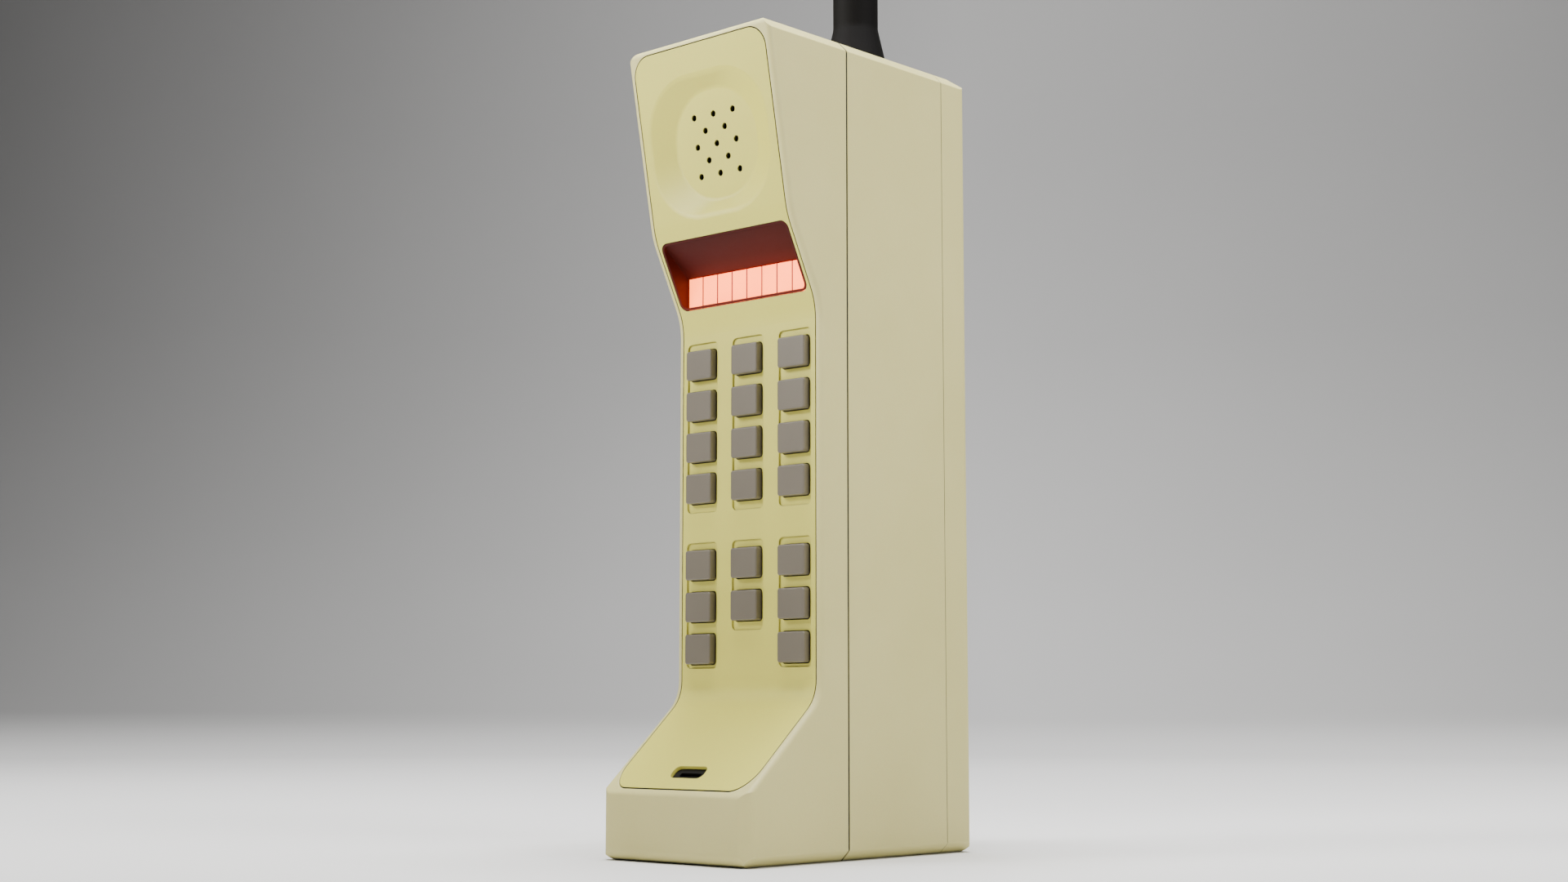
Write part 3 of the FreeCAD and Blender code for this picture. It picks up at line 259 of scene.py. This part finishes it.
# By material slot. Metals have an uneven gloss from turning, drawing or rolling; rubbers, foam
# and cloth are matt and near black; boards are satin green.
finishes = {
    "shell_plastic": shell_plastic,
    "latch_plastic": shell_plastic,
    "panel_plastic": panel_plastic,
    "key_plastic": key_plastic,
    "tray_plastic": tray_plastic,
    "inner_plastic": inner_plastic,
    "led_light": led_light,
    "led_carrier": simple_finish("moulded_red_carrier", "#A0220F", "#8C1C0C", 0.4),
    "circuit_board": simple_finish("solder_mask_green", "#1F5A34", "#184A2A", 0.35),
    "membrane_rubber": simple_finish("silicone_grey", "#8C8B86", "#7F7E79", 0.6),
    "spacer_brass": simple_finish("turned_brass", "#C9A65A", "#B8954C", 0.3, 1.0),
    "chip_plastic": simple_finish("moulded_epoxy_black", "#1C1C1C", "#151515", 0.5),
    "shield_steel": simple_finish("tinned_steel", "#B9B8B2", "#A9A8A2", 0.35, 1.0),
    "filter_metal": simple_finish("silvered_block", "#C6C2B8", "#B5B1A6", 0.3, 1.0),
    "speaker_cloth": simple_finish("woven_black_cloth", "#121110", "#0B0A0A", 0.9),
    "gasket_foam": simple_finish("black_foam", "#1E1D1C", "#171615", 0.9),
    "speaker_metal": simple_finish("painted_steel_can", "#4A4947", "#3F3E3C", 0.4),
    "microphone_rubber": simple_finish("moulded_rubber_black", "#0D0B0A", "#0A0908", 0.7,
                                       gloss=0.2),
    "seal_rubber": simple_finish("moulded_seal_black", "#12100D", "#0D0B09", 0.7),
    "microphone_metal": simple_finish("drawn_aluminium_can", "#A9A9A6", "#999996", 0.35, 1.0),
    "screw_steel": simple_finish("zinc_plated_steel", "#A8A7A0", "#94938C", 0.35, 1.0),
    "contact_metal": simple_finish("gold_flashed_brass", "#D8B765", "#C7A455", 0.25, 1.0),
    "cell_steel": simple_finish("nickel_plated_can", "#A9A8A3", "#9B9A95", 0.3, 1.0),
    "strap_nickel": simple_finish("rolled_nickel_strap", "#B5B2AA", "#A5A29A", 0.35, 1.0),
    "antenna_rubber": simple_finish("moulded_rubber_brown_black", "#080605", "#060404", 0.7,
                                    grain_mm=0.5, gloss=0.12),
    "antenna_metal": simple_finish("turned_brass_stud", "#C4A05A", "#AF8C4A", 0.3, 1.0),
}
for part in frame["record"]["subparts"]:
    mesh = NODES[part["node"]].data
    mesh.materials.clear()
    mesh.materials.append(finishes[part["material_slot"]])


# ---------------------------------------------------------------- studio
def studio_sweep():
    """Pale floor that curves up into a round wall, with light and shade painted on the wall."""
    outline = [(0.0, 0.0), (FLOOR_RADIUS, 0.0)]
    for step in range(1, BEND_STEPS + 1):
        angle = math.pi / 2 * step / BEND_STEPS
        outline.append((FLOOR_RADIUS + WALL_BEND * math.sin(angle),
                        WALL_BEND * (1 - math.cos(angle))))
    outline.append((FLOOR_RADIUS + WALL_BEND, WALL_HEIGHT))
    shape = bmesh.new()
    points = [shape.verts.new((radius, 0, z)) for radius, z in outline]
    edges = [shape.edges.new(pair) for pair in zip(points, points[1:])]
    bmesh.ops.spin(shape, geom=points + edges, cent=(0, 0, 0), axis=(0, 0, 1),
                   angle=2 * math.pi, steps=WALL_SIDES, use_duplicate=False)
    bmesh.ops.remove_doubles(shape, verts=shape.verts, dist=MERGE_DISTANCE)
    bmesh.ops.recalc_face_normals(shape, faces=shape.faces)
    bmesh.ops.reverse_faces(shape, faces=shape.faces)
    mesh = bpy.data.meshes.new("studio_sweep")
    shape.to_mesh(mesh)
    shape.free()
    for face in mesh.polygons:
        face.use_smooth = True
    sweep = bpy.data.objects.new("studio_sweep", mesh)
    bpy.context.scene.collection.objects.link(sweep)
    material, tree = new_material("painted_sweep")
    place = add(tree, "ShaderNodeTexCoord")
    cloud = add(tree, "ShaderNodeTexNoise", {"Scale": 3.0}, {"Vector": (place, "Object")})
    tint = add(tree, "ShaderNodeValToRGB", links={"Fac": (cloud, "Fac")})
    ramp(tint, [(0.3, linear("#DFDEDD")), (0.7, linear("#E2E1E0"))])
    # Painted light and shade: the wall darkens with height and, above the floor, runs from dark
    # on one side to brightest just past the middle along ACROSS_WALL.
    split = add(tree, "ShaderNodeSeparateXYZ", links={"Vector": (place, "Object")})
    height = add(tree, "ShaderNodeMapRange", {"From Max": PAINTED_HEIGHT},
                 {"Value": (split, "Z")})
    wall_painted_shade = add(tree, "ShaderNodeValToRGB", links={"Fac": (height, "Result")})
    ramp(wall_painted_shade, [(0.0, linear("#FFFFFF")), (0.03, linear("#E0E0E0")),
                     (0.15, linear("#DCDCDC")), (0.5, linear("#C4C4C4")),
                     (1.0, linear("#B4B4B4"))])
    across = add(tree, "ShaderNodeVectorMath", {"operation": "DOT_PRODUCT",
                                                1: ACROSS_WALL},
                 {0: (place, "Object")})
    side = add(tree, "ShaderNodeMapRange", {"From Min": -0.85, "From Max": 0.9},
               {"Value": (across, "Value")})
    side_painted_light = add(tree, "ShaderNodeValToRGB", links={"Fac": (side, "Result")})
    ramp(side_painted_light, [(0.0, linear("#969696")), (0.39, linear("#E6E6E6")),
                     (0.6, linear("#FFFFFF")), (1.0, linear("#D0D0D0"))])
    lifted = add(tree, "ShaderNodeMapRange", {"From Max": SIDE_SHADE_START_HEIGHT},
                 {"Value": (split, "Z")})
    sideways_painted_light = add(tree, "ShaderNodeMix", {"data_type": "RGBA", "A": linear("#FFFFFF")},
                   {"Factor": (lifted, "Result"), "B": (side_painted_light, "Color")})
    shaded = add(tree, "ShaderNodeMix", {"data_type": "RGBA", "blend_type": "MULTIPLY",
                                         "Factor": 1.0},
                 {"A": (wall_painted_shade, "Color"), "B": (sideways_painted_light, "Result")})
    painted = add(tree, "ShaderNodeMix", {"data_type": "RGBA", "blend_type": "MULTIPLY",
                                          "Factor": 1.0},
                  {"A": (tint, "Color"), "B": (shaded, "Result")})
    shader = add(tree, "ShaderNodeBsdfPrincipled", {"Roughness": 0.9},
                 {"Base Color": (painted, "Result")})
    finish_material(tree, shader)
    mesh.materials.append(material)


def soft_light(name, place, aim, size, power, spread):
    """Square soft light from one point towards another: metres, watts and degrees."""
    light = bpy.data.lights.new(name, "AREA")
    light.size = size
    light.energy = power
    light.spread = math.radians(spread)
    lamp = bpy.data.objects.new(name, light)
    lamp.location = place
    lamp.rotation_euler = (Vector(aim) - Vector(place)).to_track_quat("-Z", "Y").to_euler()
    lamp.visible_camera = False
    bpy.context.scene.collection.objects.link(lamp)


studio_sweep()
# The two narrow lights aim at the top of the body, so that it darkens towards its foot.
soft_light("key_light", (-0.20, -0.36, 0.40), (0, 0, 0.22), 0.22, 0.35, 45)
soft_light("side_light", (0.42, 0.02, 0.42), (0, 0, 0.21), 0.3, 0.26, 45)
soft_light("top_light", (0.0, 0.0, 1.2), (0, 0, 0), 0.6, 36.0, 180)
soft_light("backdrop_light", (-0.45, 0.87, 1.3), (-1.05, 1.62, 0.4), 1.0, 16.0, 180)

world = bpy.data.worlds.new("studio_air")
world.use_nodes = True
world.node_tree.nodes["Background"].inputs["Color"].default_value = AIR_GREY
world.node_tree.nodes["Background"].inputs["Strength"].default_value = AIR_STRENGTH
bpy.context.scene.world = world

camera_data = bpy.data.cameras.new("camera")
camera_data.lens = LENS_MM
camera_data.sensor_width = SENSOR_MM
camera = bpy.data.objects.new("camera", camera_data)
camera.location = CAMERA_PLACE
camera.rotation_euler = (math.radians(90 + CAMERA_TILT_UP), 0, math.radians(CAMERA_TURN))
bpy.context.scene.collection.objects.link(camera)
bpy.context.scene.camera = camera
